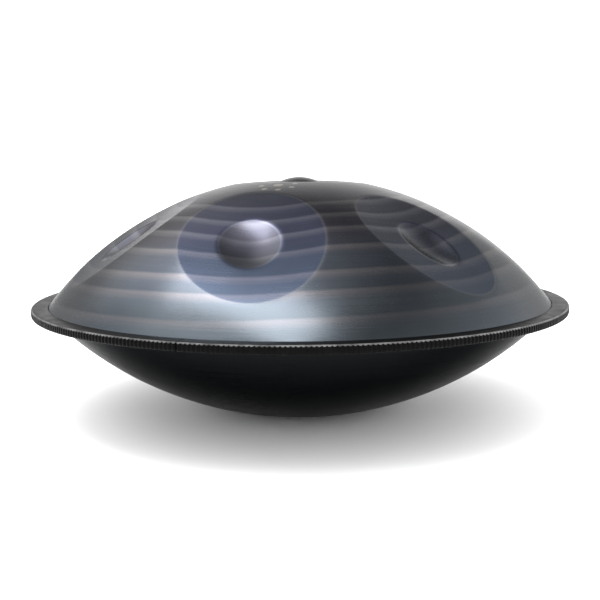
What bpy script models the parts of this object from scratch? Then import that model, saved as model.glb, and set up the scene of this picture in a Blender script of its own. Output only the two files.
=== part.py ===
"""Handpan: two pressed steel bowls bonded at their flanges, with a rubber edge trim over the joint.

Metres, +Z up. The origin is the centre of the flat ring that the instrument stands on. Azimuths are
measured from the front (-Y) towards +X, seen from above.
"""

import math

import bmesh
import bpy
from mathutils import Matrix, Vector

# Driving dimensions

SEGMENTS = 68  # flats round every turned piece
SHEET = 0.0010  # sheet steel of both bowls
GAP = 0.0003  # clearance between neighbouring pieces

RIM_Z = 0.107  # joint plane of the two bowls above the standing surface
BOND_SPACE = 0.0009  # between the two flanges
FLANGE_RADIUS = 0.2645
CORNER_RADIUS = 0.0020  # inside corner between a bowl's wall and its flange

DOME_RADIUS = 0.3198  # sphere of the upper bowl's outer face
DOME_CENTRE_Z = RIM_Z - 0.1918
BOWL_RADIUS = 0.3447  # sphere of the lower bowl's outer face
BOWL_CENTRE_Z = RIM_Z + 0.2322

PORT_RADIUS = 0.0500
NECK_HEIGHT = 0.0150
NECK_CORNER = 0.0060  # rounding where the standing ring turns up into the neck
NECK_STEPS = 4

TRIM_RADIUS = 0.2700
TRIM_HALF_HEIGHT = 0.0040
TRIM_CORNER = 0.0023
TRIM_LIP_RADIUS = 0.2535  # inner end of both lips, at their outer faces
TRIM_LIP_SLANT = 0.0027  # how much further out a lip's end lies at the flange
SEAM_FLATS = 4  # the butt seam's place, in flats from the front towards -X
SEAM_HALF_WIDTH = 0.00025
CORE_SHEET = 0.0005
CORE_DEPTH = 0.0006  # rubber over the core's slot
CORE_LIP_INSET = 0.0039  # from a lip's end to the core's slot
CORE_WEB_INSET = 0.0033  # from the trim's outer face to the core's slot
CORE_ROUNDING = 0.3  # how far a bend's middle point stays in from its sharp corner, in bend sizes

# The centre note: an oval flat with a dome in its middle
CENTRE_HALF_LENGTH = 0.066
CENTRE_HALF_WIDTH = 0.052
CENTRE_DEPTH = 0.0086
CENTRE_DOME_RADIUS = 0.027
CENTRE_DOME_HEIGHT = 0.0085

# The ring notes, largest first: distance from the axis, azimuth, half length, half width and twist
RING_NOTES = (
    (0.1655, -15.2, 0.0880, 0.0665, 26),
    (0.1730, 42.0, 0.0785, 0.0570, 6),
    (0.1740, -72.0, 0.0780, 0.0560, 12),
    (0.1745, 100.0, 0.0700, 0.0510, 8),
    (0.1745, -117.5, 0.0660, 0.0480, 10),
    (0.1750, 149.0, 0.0620, 0.0460, 8),
    (0.1750, -164.0, 0.0590, 0.0440, 10),
)
NOTE_DEPTH = 0.0065  # how far a note's middle is flattened below the sphere
NOTE_EDGE = 0.08  # softness of a note's border, as a share of its size
DIMPLE_SHARE = 0.435  # a dimple's size over its note's
DIMPLE_SHIFT = 0.0035  # a dimple sits this much nearer the rim than its note's middle
DIMPLE_DEPTH = 0.0060
DIMPLE_EDGE = 0.15

# Rings of points from the pole to the wall's foot: close together over the centre note, then even
CENTRE_RING_RADII = (0.007, 0.014, 0.020, 0.026, 0.032, 0.042, 0.054, 0.066, 0.078)
OUTER_RING_STEP = 0.0125
OUTER_RINGS = 13
BOWL_RINGS = 7
CORNER_STEPS = 2
CREASE_ANGLE = math.radians(35)  # edges sharper than this are drawn as edges

STEEL_BLUE = (0.16, 0.18, 0.25)
STEEL_DARK = (0.045, 0.052, 0.070)
RUBBER_BLACK = (0.018, 0.018, 0.019)
ADHESIVE_GREY = (0.30, 0.30, 0.28)
ZINC_GREY = (0.45, 0.46, 0.47)


def clear_scene():
    for thing in list(bpy.data.objects):
        bpy.data.objects.remove(thing, do_unlink=True)


def make_material(name, colour, roughness, metallic):
    material = bpy.data.materials.new(name)
    material.use_nodes = True
    shader = material.node_tree.nodes["Principled BSDF"]
    shader.inputs["Base Color"].default_value = (*colour, 1.0)
    shader.inputs["Roughness"].default_value = roughness
    shader.inputs["Metallic"].default_value = metallic
    return material


def add_object(name, mesh_builder, material):
    mesh = bpy.data.meshes.new(name)
    mesh_builder.to_mesh(mesh)
    mesh_builder.free()
    mesh.materials.append(material)
    mesh.shade_smooth()
    mesh.set_sharp_from_angle(angle=CREASE_ANGLE)
    thing = bpy.data.objects.new(name, mesh)
    bpy.context.scene.collection.objects.link(thing)
    return thing


def thicken(thing):
    """Gives a sheet its thickness, behind the face that was modelled."""
    wall = thing.modifiers.new("sheet", "SOLIDIFY")
    wall.thickness = SHEET
    wall.offset = -1.0
    wall.use_even_offset = True


def arc(centre, radius, start, end, steps):
    """Points (r, z) on an arc, from one angle to the other, both ends included."""
    points = []
    for step in range(steps + 1):
        angle = start + (end - start) * step / steps
        points.append((centre[0] + radius * math.cos(angle), centre[1] + radius * math.sin(angle)))
    return points


def wall_to_flange(sphere_radius, sphere_z, side):
    """The rounded corner from a bowl's wall to its flange, then the flange's edge. side is +1 on top."""
    flange_z = RIM_Z + side * (BOND_SPACE / 2 + SHEET)
    centre_z = flange_z + side * CORNER_RADIUS
    reach = sphere_radius + CORNER_RADIUS
    centre_r = math.sqrt(reach**2 - (centre_z - sphere_z) ** 2)
    towards_sphere = math.atan2(sphere_z - centre_z, -centre_r)
    start = towards_sphere % (2 * math.pi)
    end = math.pi * (1.5 if side > 0 else 0.5)
    corner = arc((centre_r, centre_z), CORNER_RADIUS, start, end, CORNER_STEPS)
    return corner + [(FLANGE_RADIUS, flange_z)]


def spin_sheet(profile):
    """Turns an open (r, z) profile round the Z axis into one sheet."""
    builder = bmesh.new()
    points = [builder.verts.new((r, 0.0, z)) for r, z in profile]
    edges = [builder.edges.new(pair) for pair in zip(points, points[1:])]
    bmesh.ops.spin(
        builder,
        geom=points + edges,
        cent=(0, 0, 0),
        axis=(0, 0, 1),
        angle=2 * math.pi,
        steps=SEGMENTS,
        use_merge=True,
    )
    bmesh.ops.remove_doubles(builder, verts=builder.verts, dist=1e-6)
    return builder


def face_outwards(builder, centre):
    """Makes an open sheet's faces point away from centre."""
    bmesh.ops.recalc_face_normals(builder, faces=builder.faces)
    builder.faces.ensure_lookup_table()
    face = builder.faces[0]
    if face.normal.dot(face.calc_center_median() - centre) < 0:
        bmesh.ops.reverse_faces(builder, faces=builder.faces)


def soft_cap(distance_squared, softness):
    """1 in the middle of an oval, 0 outside it, with a rounded border."""
    inside = 1.0 - distance_squared
    return 0.5 * (inside + math.sqrt(inside * inside + softness * softness))


class Oval:
    """An oval drawn on the dome's sphere, its length turned from the downhill direction by twist."""

    def __init__(self, distance, azimuth, half_length, half_width, twist):
        polar = math.asin(distance / DOME_RADIUS)
        turn = math.radians(azimuth)
        self.middle = Vector(
            (math.sin(polar) * math.sin(turn), -math.sin(polar) * math.cos(turn), math.cos(polar))
        )
        downhill = Vector(
            (math.cos(polar) * math.sin(turn), -math.cos(polar) * math.cos(turn), -math.sin(polar))
        )
        spin = Matrix.Rotation(math.radians(twist), 3, self.middle)
        self.length_way = spin @ downhill
        self.width_way = spin @ self.middle.cross(downhill)
        self.half_length = half_length
        self.half_width = half_width

    def distance_squared(self, outward):
        """0 in the oval's middle and 1 on its outline, measured along the sphere."""
        angle = self.middle.angle(outward, 0.0)
        if angle < 1e-6:
            return 0.0
        flat = outward - self.middle * outward.dot(self.middle)
        flat *= angle * DOME_RADIUS / flat.length
        along = flat.dot(self.length_way) / self.half_length
        across = flat.dot(self.width_way) / self.half_width
        return along * along + across * across


def ring_ovals():
    """(note, dimple) for every ring note."""
    pairs = []
    for distance, azimuth, half_length, half_width, twist in RING_NOTES:
        note = Oval(distance, azimuth, half_length, half_width, twist)
        dimple = Oval(
            distance + DIMPLE_SHIFT,
            azimuth,
            half_length * DIMPLE_SHARE,
            half_width * DIMPLE_SHARE,
            twist,
        )
        pairs.append((note, dimple))
    return pairs


def centre_height(x, y):
    """The centre note: flattened below the sphere, with its dome standing in the middle."""
    oval = (x / CENTRE_HALF_LENGTH) ** 2 + (y / CENTRE_HALF_WIDTH) ** 2
    dome = (x * x + y * y) / CENTRE_DOME_RADIUS**2
    return CENTRE_DOME_HEIGHT * soft_cap(dome, DIMPLE_EDGE) - CENTRE_DEPTH * soft_cap(oval, NOTE_EDGE)


def dome_ring_radii():
    first = CENTRE_RING_RADII[-1] + OUTER_RING_STEP
    return [*CENTRE_RING_RADII, *(first + OUTER_RING_STEP * ring for ring in range(OUTER_RINGS))]


def hammer_notes(builder, wall_foot):
    """Moves the dome's points along the sphere's own directions to shape the notes."""
    ovals = ring_ovals()
    middle = Vector((0, 0, DOME_CENTRE_Z))
    for point in builder.verts:
        radius = math.hypot(point.co.x, point.co.y)
        if radius > wall_foot + GAP:
            continue
        outward = (point.co - middle).normalized()
        height = centre_height(point.co.x, point.co.y)
        for note, dimple in ovals:
            height -= NOTE_DEPTH * soft_cap(note.distance_squared(outward), NOTE_EDGE)
            height -= DIMPLE_DEPTH * soft_cap(dimple.distance_squared(outward), DIMPLE_EDGE)
        point.co += outward * height


def make_top_shell(material):
    profile = [(0.0, DOME_CENTRE_Z + DOME_RADIUS)]
    radii = dome_ring_radii()
    for radius in radii:
        profile.append((radius, DOME_CENTRE_Z + math.sqrt(DOME_RADIUS**2 - radius**2)))
    profile += wall_to_flange(DOME_RADIUS, DOME_CENTRE_Z, side=1)
    sheet = spin_sheet(profile)
    hammer_notes(sheet, wall_foot=radii[-1])
    face_outwards(sheet, Vector((0, 0, RIM_Z)))
    shell = add_object("top_shell", sheet, material)
    thicken(shell)
    return shell


def make_bottom_shell(material):
    standing_edge = math.sqrt(BOWL_RADIUS**2 - BOWL_CENTRE_Z**2)
    corner = wall_to_flange(BOWL_RADIUS, BOWL_CENTRE_Z, side=-1)
    wall_top = corner[0]
    low = math.asin(standing_edge / BOWL_RADIUS) - math.pi / 2
    high = math.asin(wall_top[0] / BOWL_RADIUS) - math.pi / 2
    wall = arc((0.0, BOWL_CENTRE_Z), BOWL_RADIUS, low, high, BOWL_RINGS)
    corner_centre = (PORT_RADIUS + NECK_CORNER, NECK_CORNER)
    neck = arc(corner_centre, NECK_CORNER, math.pi, 1.5 * math.pi, NECK_STEPS)
    profile = [(PORT_RADIUS, NECK_HEIGHT)] + neck + wall[:-1] + corner
    sheet = spin_sheet(profile)
    face_outwards(sheet, Vector((0, 0, RIM_Z)))
    shell = add_object("bottom_shell", sheet, material)
    thicken(shell)
    return shell


def sweep_loop(builder, loop, azimuths):
    """Carries a closed (r, z) loop through the azimuths, and returns its first and last ring of points."""
    rings = []
    for azimuth in azimuths:
        sine = math.sin(azimuth)
        cosine = math.cos(azimuth)
        rings.append([builder.verts.new((r * sine, -r * cosine, z)) for r, z in loop])
    count = len(loop)
    for here, there in zip(rings, rings[1:]):
        for i in range(count):
            j = (i + 1) % count
            builder.faces.new((here[i], here[j], there[j], there[i]))
    return rings[0], rings[-1]


def seam_azimuths(half_width):
    """Azimuths once round from the butt seam, keeping half_width clear of it at both ends."""
    step = 2 * math.pi / SEGMENTS
    seam = -SEAM_FLATS * step
    trimmed = half_width / TRIM_RADIUS
    between = [seam + step * i for i in range(1, SEGMENTS)]
    return [seam + trimmed, *between, seam + 2 * math.pi - trimmed]


def mirrored(upper):
    """Completes a U section: its upper half, then the same points below the joint plane."""
    above = [(r, RIM_Z + z) for r, z in upper]
    below = [(r, RIM_Z - z) for r, z in reversed(upper)]
    return above + below


def trim_sections():
    """The rubber's outline, the slot inside it and the core that fills the slot, as (r, z) loops.

    The three loops have the same number of points in the same order, so the rubber's ends can be
    closed by a strip of faces between its outline and its slot.
    """
    slot_half = BOND_SPACE / 2 + SHEET + GAP
    top = TRIM_HALF_HEIGHT
    lip = TRIM_LIP_RADIUS
    corner_centre = (TRIM_RADIUS - TRIM_CORNER, top - TRIM_CORNER)
    turn = arc(corner_centre, TRIM_CORNER, math.pi / 2, 0.0, CORNER_STEPS)
    outline = [(FLANGE_RADIUS + GAP, slot_half), (lip + TRIM_LIP_SLANT, slot_half), (lip, top), *turn]
    slot_room = CORE_SHEET + 2 * GAP
    high = top - CORE_DEPTH
    web = TRIM_RADIUS - CORE_WEB_INSET
    end = lip + CORE_LIP_INSET
    bend = slot_room / 2
    middle = bend * CORE_ROUNDING
    slot = [
        (web - slot_room, high - slot_room),
        (end, high - slot_room),
        (end, high),
        (web - bend, high),
        (web - middle, high - middle),
        (web, high - bend),
    ]
    core = [
        (web - GAP - CORE_SHEET, high - GAP - CORE_SHEET),
        (end + GAP, high - GAP - CORE_SHEET),
        (end + GAP, high - GAP),
        (web - GAP - bend, high - GAP),
        (web - GAP - middle, high - GAP - middle),
        (web - GAP, high - GAP - bend),
    ]
    return mirrored(outline), mirrored(slot), mirrored(core)


def make_edge_trim(material):
    outline, slot, _ = trim_sections()
    builder = bmesh.new()
    azimuths = seam_azimuths(SEAM_HALF_WIDTH)
    outer_ends = sweep_loop(builder, outline, azimuths)
    slot_ends = sweep_loop(builder, slot, azimuths)
    count = len(outline)
    for outer, inner in zip(outer_ends, slot_ends):
        for i in range(count):
            j = (i + 1) % count
            builder.faces.new((outer[i], outer[j], inner[j], inner[i]))
    bmesh.ops.recalc_face_normals(builder, faces=builder.faces)
    return add_object("edge_trim", builder, material)


def make_trim_core(material):
    _, _, core = trim_sections()
    builder = bmesh.new()
    for end in sweep_loop(builder, core, seam_azimuths(SEAM_HALF_WIDTH + GAP)):
        builder.faces.new(end)
    bmesh.ops.recalc_face_normals(builder, faces=builder.faces)
    return add_object("trim_core", builder, material)


def make_rim_adhesive(material):
    half = BOND_SPACE / 2 - GAP
    inner = TRIM_LIP_RADIUS + TRIM_LIP_SLANT
    outer = FLANGE_RADIUS - GAP
    section = [(inner, RIM_Z - half), (outer, RIM_Z - half), (outer, RIM_Z + half), (inner, RIM_Z + half)]
    builder = spin_sheet(section + section[:1])
    bmesh.ops.recalc_face_normals(builder, faces=builder.faces)
    return add_object("rim_adhesive", builder, material)


def main():
    clear_scene()
    make_top_shell(make_material("blued_steel", STEEL_BLUE, 0.32, 1.0))
    make_bottom_shell(make_material("dark_steel", STEEL_DARK, 0.35, 1.0))
    make_rim_adhesive(make_material("adhesive", ADHESIVE_GREY, 0.6, 0.0))
    make_edge_trim(make_material("rubber", RUBBER_BLACK, 0.65, 0.0))
    make_trim_core(make_material("zinc_steel", ZINC_GREY, 0.4, 1.0))


main()
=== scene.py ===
import math

import bmesh
import bpy
from mathutils import Matrix, Quaternion, Vector


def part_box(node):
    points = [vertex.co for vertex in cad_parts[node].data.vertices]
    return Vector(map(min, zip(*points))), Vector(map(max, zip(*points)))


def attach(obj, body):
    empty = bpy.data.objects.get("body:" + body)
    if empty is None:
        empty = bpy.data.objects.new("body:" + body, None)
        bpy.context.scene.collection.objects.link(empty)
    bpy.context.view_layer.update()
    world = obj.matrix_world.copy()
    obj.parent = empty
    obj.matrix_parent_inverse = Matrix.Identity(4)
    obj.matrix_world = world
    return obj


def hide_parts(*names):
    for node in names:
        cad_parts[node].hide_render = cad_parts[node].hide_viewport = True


# Handpan: the finished look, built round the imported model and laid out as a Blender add-on.
# Metres, +Z up, front towards -Y. Azimuths are measured from the front towards +X, seen from above.

bl_info = {
    "name": "Handpan",
    "version": (1, 0, 0),
    "blender": (4, 5, 0),
    "location": "View3D > Sidebar > Handpan",
    "description": "Builds a handpan from two steel bowls and its edge trim",
    "category": "Add Mesh",
}

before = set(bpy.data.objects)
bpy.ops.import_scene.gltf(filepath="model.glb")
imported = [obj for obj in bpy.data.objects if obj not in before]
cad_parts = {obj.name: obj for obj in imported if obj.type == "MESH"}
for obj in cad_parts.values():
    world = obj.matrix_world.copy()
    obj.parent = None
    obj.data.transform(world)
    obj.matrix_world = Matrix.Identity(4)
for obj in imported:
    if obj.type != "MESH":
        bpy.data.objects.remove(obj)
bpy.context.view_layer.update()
TRIM_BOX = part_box("edge_trim")
FLANGE_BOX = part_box("top_shell")

RIM_Z = (TRIM_BOX[0].z + TRIM_BOX[1].z) / 2
TRIM_RADIUS = TRIM_BOX[1].x
TRIM_HALF_HEIGHT = (TRIM_BOX[1].z - TRIM_BOX[0].z) / 2
FLANGE_RADIUS = FLANGE_BOX[1].x
SHEET = 0.001  # steel of both bowls
BOND_HALF = 0.00045  # half the space between the two flanges
CLEARANCE = 0.0003  # between neighbouring pieces
HAMMER_MARGIN = 0.012  # nothing is hammered this close to the flange's edge

# How finely the bowls are divided: rings down the wall, flats round the axis, steps round a corner
OUTER_FACE = (132, 600)
INNER_FACE = (60, 150)
LOWER_BOWL = (90, 256)
CORNER_STEPS = 6
NECK_STEPS = 10

# The ring notes, largest first: distance from the axis, azimuth, half length, half width and twist
RING_NOTES = (
    (0.1655, -15.2, 0.0880, 0.0665, 26),
    (0.1730, 42.0, 0.0785, 0.0570, 6),
    (0.1740, -72.0, 0.0780, 0.0560, 12),
    (0.1745, 100.0, 0.0700, 0.0510, 8),
    (0.1745, -117.5, 0.0660, 0.0480, 10),
    (0.1750, 149.0, 0.0620, 0.0460, 8),
    (0.1750, -164.0, 0.0590, 0.0440, 10),
)

# The lights that only whiten the floor: where each comes from, how wide it is and its share
FLOOR_LIGHTS = (
    ("top_light", (0.0, 0.0, 1.0), 150, 0.04),
    ("left_light", (-1.0, 0.0, 0.45), 124, 1.05),
    ("right_light", (1.0, 0.0, 0.45), 124, 1.08),
)

# The long soft light overhead: its middle, what it points at, its long side's direction and its size
STRIP_PLACE = Vector((-0.455, -0.335, 1.62))
STRIP_TARGET = Vector((-0.08, -0.18, 0.15))
STRIP_WAY = Vector((-0.66, 0.75, -0.03))
STRIP_SIZE = (0.54, 1.61)

# Round glows on the studio's walls: where each lies and how many degrees it reaches
HALO = ((-0.32, 0.0, 0.945), 44)
BACK_GLOW = ((-0.49, 0.53, 0.69), 23)

FLOOR_REACH = 30.0
CAMERA_AIM = 0.0007  # the camera aims this far above the rim's plane

# The etched mark near the top: a dot, and round it one smaller dot for each ring note
MARK_PLACE = (-0.020, -0.064)
MARK_RING = 0.0165
MARK_DOT = 0.0028
MARK_MIDDLE = 1.7  # the middle dot's size over the others'
MARK_EDGE = 0.0003  # half the blur of a dot's edge

# The pale heat rings: how far each lies down the dome from its top, and how pale it is
HEAT_RINGS = (
    (0.1210, 0.80),
    (0.1455, 0.85),
    (0.1690, 0.90),
    (0.1956, 0.90),
    (0.2262, 0.80),
    (0.2472, 0.65),
    (0.2742, 0.50),
)
HEAT_AXIS = (-0.0313, 0.0, 1.0)  # the rings' common axis leans a little to the left
HEAT_SPAN = 0.30  # the heat colours' ramp ends this far down the dome
HEAT_WANDER = 0.005  # how far a ring strays from a true circle

# Down the dome through one ring: its dark upper edge, where it is palest, and where it has faded out
RING_EDGE = -0.0035
RING_PALEST = (-0.0010, 0.0005)
RING_FADED = 0.0080

# The trim's rubber: rounding of a lip's end, and where its lips and its outer face have extra points
LIP_ROUNDING = 0.0008
LIP_POINTS = (0.006, 0.011)
FACE_POINT = 0.0006
# Across half a rib, in rib pitches: how far from its middle, and the share of the groove's depth
HALF_RIB = ((0.0, 0.0), (0.24, 0.1), (0.36, 0.75), (0.5, 1.0))


class BowlSettings(bpy.types.PropertyGroup):
    """Sizes and colours of both steel bowls."""

    sheet: bpy.props.FloatProperty(
        name="Sheet", description="Thickness of the steel", default=SHEET, unit="LENGTH"
    )
    corner: bpy.props.FloatProperty(
        name="Corner", description="Rounding from a wall to its flange", default=0.002, unit="LENGTH"
    )
    dome_radius: bpy.props.FloatProperty(
        name="Dome radius", description="Sphere of the upper bowl", default=0.3198, unit="LENGTH"
    )
    dome_drop: bpy.props.FloatProperty(
        name="Dome centre", description="Its centre below the rim", default=0.1918, unit="LENGTH"
    )
    bowl_radius: bpy.props.FloatProperty(
        name="Bowl radius", description="Sphere of the lower bowl", default=0.3447, unit="LENGTH"
    )
    bowl_rise: bpy.props.FloatProperty(
        name="Bowl centre", description="Its centre above the rim", default=0.2322, unit="LENGTH"
    )
    port_radius: bpy.props.FloatProperty(
        name="Port radius", description="Radius of the hole underneath", default=0.05, unit="LENGTH"
    )
    neck_height: bpy.props.FloatProperty(
        name="Neck height", description="How far the port's neck turns in", default=0.015, unit="LENGTH"
    )
    neck_corner: bpy.props.FloatProperty(
        name="Neck corner", description="Rounding of the neck's mouth", default=0.006, unit="LENGTH"
    )
    note_depth: bpy.props.FloatProperty(
        name="Note depth", description="How far a note is flattened", default=0.0065, unit="LENGTH"
    )
    note_border: bpy.props.FloatProperty(
        name="Note border", description="Softness of a note's border", default=0.02, subtype="FACTOR"
    )
    dimple_share: bpy.props.FloatProperty(
        name="Dimple share", description="Dimple size over note size", default=0.435, subtype="FACTOR"
    )
    dimple_shift: bpy.props.FloatProperty(
        name="Dimple shift", description="Dimple's place towards the rim", default=0.0035, unit="LENGTH"
    )
    dimple_depth: bpy.props.FloatProperty(
        name="Dimple depth", description="How deep a dimple is pressed", default=0.006, unit="LENGTH"
    )
    dimple_border: bpy.props.FloatProperty(
        name="Dimple border", description="Softness of a dimple's edge", default=0.06, subtype="FACTOR"
    )
    centre_length: bpy.props.FloatProperty(
        name="Centre length", description="Half length of the centre note", default=0.066, unit="LENGTH"
    )
    centre_width: bpy.props.FloatProperty(
        name="Centre width", description="Half width of the centre note", default=0.052, unit="LENGTH"
    )
    centre_depth: bpy.props.FloatProperty(
        name="Centre depth", description="How far it is flattened", default=0.0086, unit="LENGTH"
    )
    dome_base: bpy.props.FloatProperty(
        name="Knob radius", description="Foot of the raised middle", default=0.027, unit="LENGTH"
    )
    dome_height: bpy.props.FloatProperty(
        name="Knob height", description="Height of the raised middle", default=0.0085, unit="LENGTH"
    )
    unevenness: bpy.props.FloatProperty(
        name="Unevenness", description="Waviness left by the hammer", default=0.00010, unit="LENGTH"
    )
    blue: bpy.props.FloatVectorProperty(
        name="Blue", description="Steel between the heat rings", subtype="COLOR",
        default=(0.134, 0.150, 0.178),
    )
    violet: bpy.props.FloatVectorProperty(
        name="Violet", description="Steel higher up the dome", subtype="COLOR",
        default=(0.124, 0.121, 0.150),
    )
    straw: bpy.props.FloatVectorProperty(
        name="Heat rings", description="The pale rings", subtype="COLOR",
        default=(0.245, 0.232, 0.245),
    )
    grey: bpy.props.FloatVectorProperty(
        name="Grey", description="Steel round the centre note", subtype="COLOR",
        default=(0.205, 0.204, 0.208),
    )
    etching: bpy.props.FloatVectorProperty(
        name="Etching", description="Colour of the etched dots", subtype="COLOR",
        default=(0.42, 0.39, 0.345),
    )
    note_tint: bpy.props.FloatVectorProperty(
        name="Note tint", description="Multiplies the steel's colour inside a note", subtype="COLOR",
        default=(0.81, 0.88, 1.05),
    )
    # painted highlight: the dimples are paled to stand in for the bright reflections in them
    dimple_highlight_steel: bpy.props.FloatVectorProperty(
        name="Dimple steel", description="Paler steel where a dimple is pressed", subtype="COLOR",
        default=(0.225, 0.215, 0.222),
    )
    # painted highlight: the pale line along note and dimple borders stands in for the light caught by
    # their creases
    painted_border_highlight: bpy.props.FloatVectorProperty(
        name="Burnish", description="Steel rubbed bright on the borders of notes and dimples",
        subtype="COLOR", default=(0.42, 0.42, 0.44),
    )
    low_grey: bpy.props.FloatVectorProperty(
        name="Low grey", description="Steel near the rim", subtype="COLOR",
        default=(0.160, 0.182, 0.206),
    )
    # painted shade: the lower bowl's colour is darkened far below the upper bowl's so that its underside
    # looks shaded
    dark: bpy.props.FloatVectorProperty(
        name="Dark", description="Steel of the lower bowl", subtype="COLOR",
        default=(0.017, 0.0185, 0.0195),
    )


class TrimSettings(bpy.types.PropertyGroup):
    """Sizes and colour of the rubber edge trim."""

    lip_radius: bpy.props.FloatProperty(
        name="Lip radius", description="Inner end of both lips", default=0.2535, unit="LENGTH"
    )
    lip_slant: bpy.props.FloatProperty(
        name="Lip slant", description="Slope of a lip's end", default=0.0027, unit="LENGTH"
    )
    corner: bpy.props.FloatProperty(
        name="Corner", description="Rounding of the outer edges", default=0.0023, unit="LENGTH"
    )
    rib_pitch: bpy.props.FloatProperty(
        name="Rib pitch", description="From one rib to the next", default=0.004, unit="LENGTH"
    )
    rib_depth: bpy.props.FloatProperty(
        name="Rib depth", description="Depth of the groove between ribs", default=0.0006, unit="LENGTH"
    )
    seam_azimuth: bpy.props.FloatProperty(
        name="Seam", description="Where the trim's ends meet", default=math.radians(-21.18),
        subtype="ANGLE",
    )
    seam_gap: bpy.props.FloatProperty(
        name="Seam gap", description="Between the trim's ends", default=0.0007, unit="LENGTH"
    )
    rubber: bpy.props.FloatVectorProperty(
        name="Rubber", description="Colour of the trim", subtype="COLOR",
        default=(0.001, 0.001, 0.001),
    )


class StageSettings(bpy.types.PropertyGroup):
    """The camera, the floor and the lights."""

    distance: bpy.props.FloatProperty(
        name="Distance", description="Camera to the rim's middle", default=1.0, unit="LENGTH"
    )
    elevation: bpy.props.FloatProperty(
        name="Elevation", description="Camera above the rim", default=math.radians(8.07), subtype="ANGLE"
    )
    roll: bpy.props.FloatProperty(
        name="Roll", description="Camera's roll", default=math.radians(-0.454), subtype="ANGLE"
    )
    lens: bpy.props.FloatProperty(
        name="Lens", description="Focal length in millimetres", default=57.7
    )
    strip_light: bpy.props.FloatProperty(
        name="Strip light", description="Brightness of the long soft light overhead", default=4.4
    )
    floor_light: bpy.props.FloatProperty(
        name="Floor light", description="Strength of the wide light that whitens the floor", default=5.0
    )
    ambient: bpy.props.FloatProperty(
        name="Ambient", description="Brightness of the studio overhead", default=0.18
    )
    horizon: bpy.props.FloatProperty(
        name="Horizon", description="Brightness added towards the horizon", default=0.55
    )
    left_glow: bpy.props.FloatProperty(
        name="Left glow", description="Brightness added on the left", default=0.6
    )
    right_glow: bpy.props.FloatProperty(
        name="Right glow", description="Brightness added on the right", default=0.25
    )
    halo: bpy.props.FloatProperty(
        name="Halo", description="Brightness added round the strip light", default=0.5
    )
    back_glow: bpy.props.FloatProperty(
        name="Back glow", description="Brightness added behind on the left", default=0.95
    )
    backdrop: bpy.props.FloatProperty(
        name="Backdrop", description="Brightness of the paper behind", default=1.1
    )
    floor: bpy.props.FloatVectorProperty(
        name="Floor", description="Colour of the floor", subtype="COLOR", default=(0.90, 0.90, 0.90)
    )


class NodeMaker:
    """Adds nodes to one tree and links them."""

    def __init__(self, tree):
        self.tree = tree

    def add(self, kind, inputs=None, **settings):
        """A new node. inputs maps a socket's name or number to a value or to another node's output."""
        node = self.tree.nodes.new(kind)
        for name, value in settings.items():
            setattr(node, name, value)
        for name, value in (inputs or {}).items():
            self.feed(node.inputs[name], value)
        return node

    def feed(self, socket, value):
        if isinstance(value, bpy.types.NodeSocket):
            self.tree.links.new(value, socket)
        else:
            socket.default_value = value

    def math(self, operation, first, second=0.0):
        node = self.add("ShaderNodeMath", {0: first, 1: second}, operation=operation)
        return node.outputs[0]

    def vector(self, operation, first, second=(0.0, 0.0, 0.0)):
        node = self.add("ShaderNodeVectorMath", {0: first, 1: second}, operation=operation)
        number = operation in ("DOT_PRODUCT", "LENGTH", "DISTANCE")
        return node.outputs["Value" if number else "Vector"]

    def stretch(self, vector, factor):
        node = self.add("ShaderNodeVectorMath", {0: vector, "Scale": factor}, operation="SCALE")
        return node.outputs["Vector"]


# Shapes shared by the bowls


def arc(centre, radius, start, end, steps):
    """Points (r, z) on an arc, from one angle to the other, both ends included."""
    points = []
    for step in range(steps + 1):
        angle = start + (end - start) * step / steps
        points.append((centre[0] + radius * math.cos(angle), centre[1] + radius * math.sin(angle)))
    return points


def wall_to_flange(sphere_radius, sphere_z, side, settings, inset=0.0):
    """The rounded corner from a bowl's wall to its flange, then the flange. side is +1 on top.

    inset is how far inside the outer face the line runs."""
    outer_z = RIM_Z + side * (BOND_HALF + settings.sheet)
    centre_z = outer_z + side * settings.corner
    reach = sphere_radius + settings.corner
    centre_r = math.sqrt(reach**2 - (centre_z - sphere_z) ** 2)
    start = math.atan2(sphere_z - centre_z, -centre_r) % (2 * math.pi)
    end = math.pi * (1.5 if side > 0 else 0.5)
    corner = arc((centre_r, centre_z), settings.corner + inset, start, end, CORNER_STEPS)
    flange_z = outer_z - side * inset
    middle = (corner[-1][0] + FLANGE_RADIUS) / 2
    return corner + [(middle, flange_z), (FLANGE_RADIUS, flange_z)]


def spin_sheet(name, profile, segments, centre):
    """Turns an open (r, z) profile round the Z axis into one sheet that faces away from centre."""
    builder = bmesh.new()
    points = [builder.verts.new((r, 0.0, z)) for r, z in profile]
    edges = [builder.edges.new(pair) for pair in zip(points, points[1:])]
    bmesh.ops.spin(
        builder,
        geom=points + edges,
        cent=(0, 0, 0),
        axis=(0, 0, 1),
        angle=2 * math.pi,
        steps=segments,
        use_merge=True,
    )
    bmesh.ops.remove_doubles(builder, verts=builder.verts, dist=1e-7)
    bmesh.ops.recalc_face_normals(builder, faces=builder.faces)
    builder.faces.ensure_lookup_table()
    face = builder.faces[0]
    if face.normal.dot(face.calc_center_median() - Vector(centre)) < 0:
        bmesh.ops.reverse_faces(builder, faces=builder.faces)
    mesh = bpy.data.meshes.new(name)
    builder.to_mesh(mesh)
    builder.free()
    return link_object(name, mesh)


def link_object(name, mesh):
    thing = bpy.data.objects.new(name, mesh)
    bpy.context.scene.collection.objects.link(thing)
    return thing


def thicken(thing, thickness):
    wall = thing.modifiers.new("sheet", "SOLIDIFY")
    wall.thickness = thickness
    wall.offset = -1.0
    wall.use_even_offset = True


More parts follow.
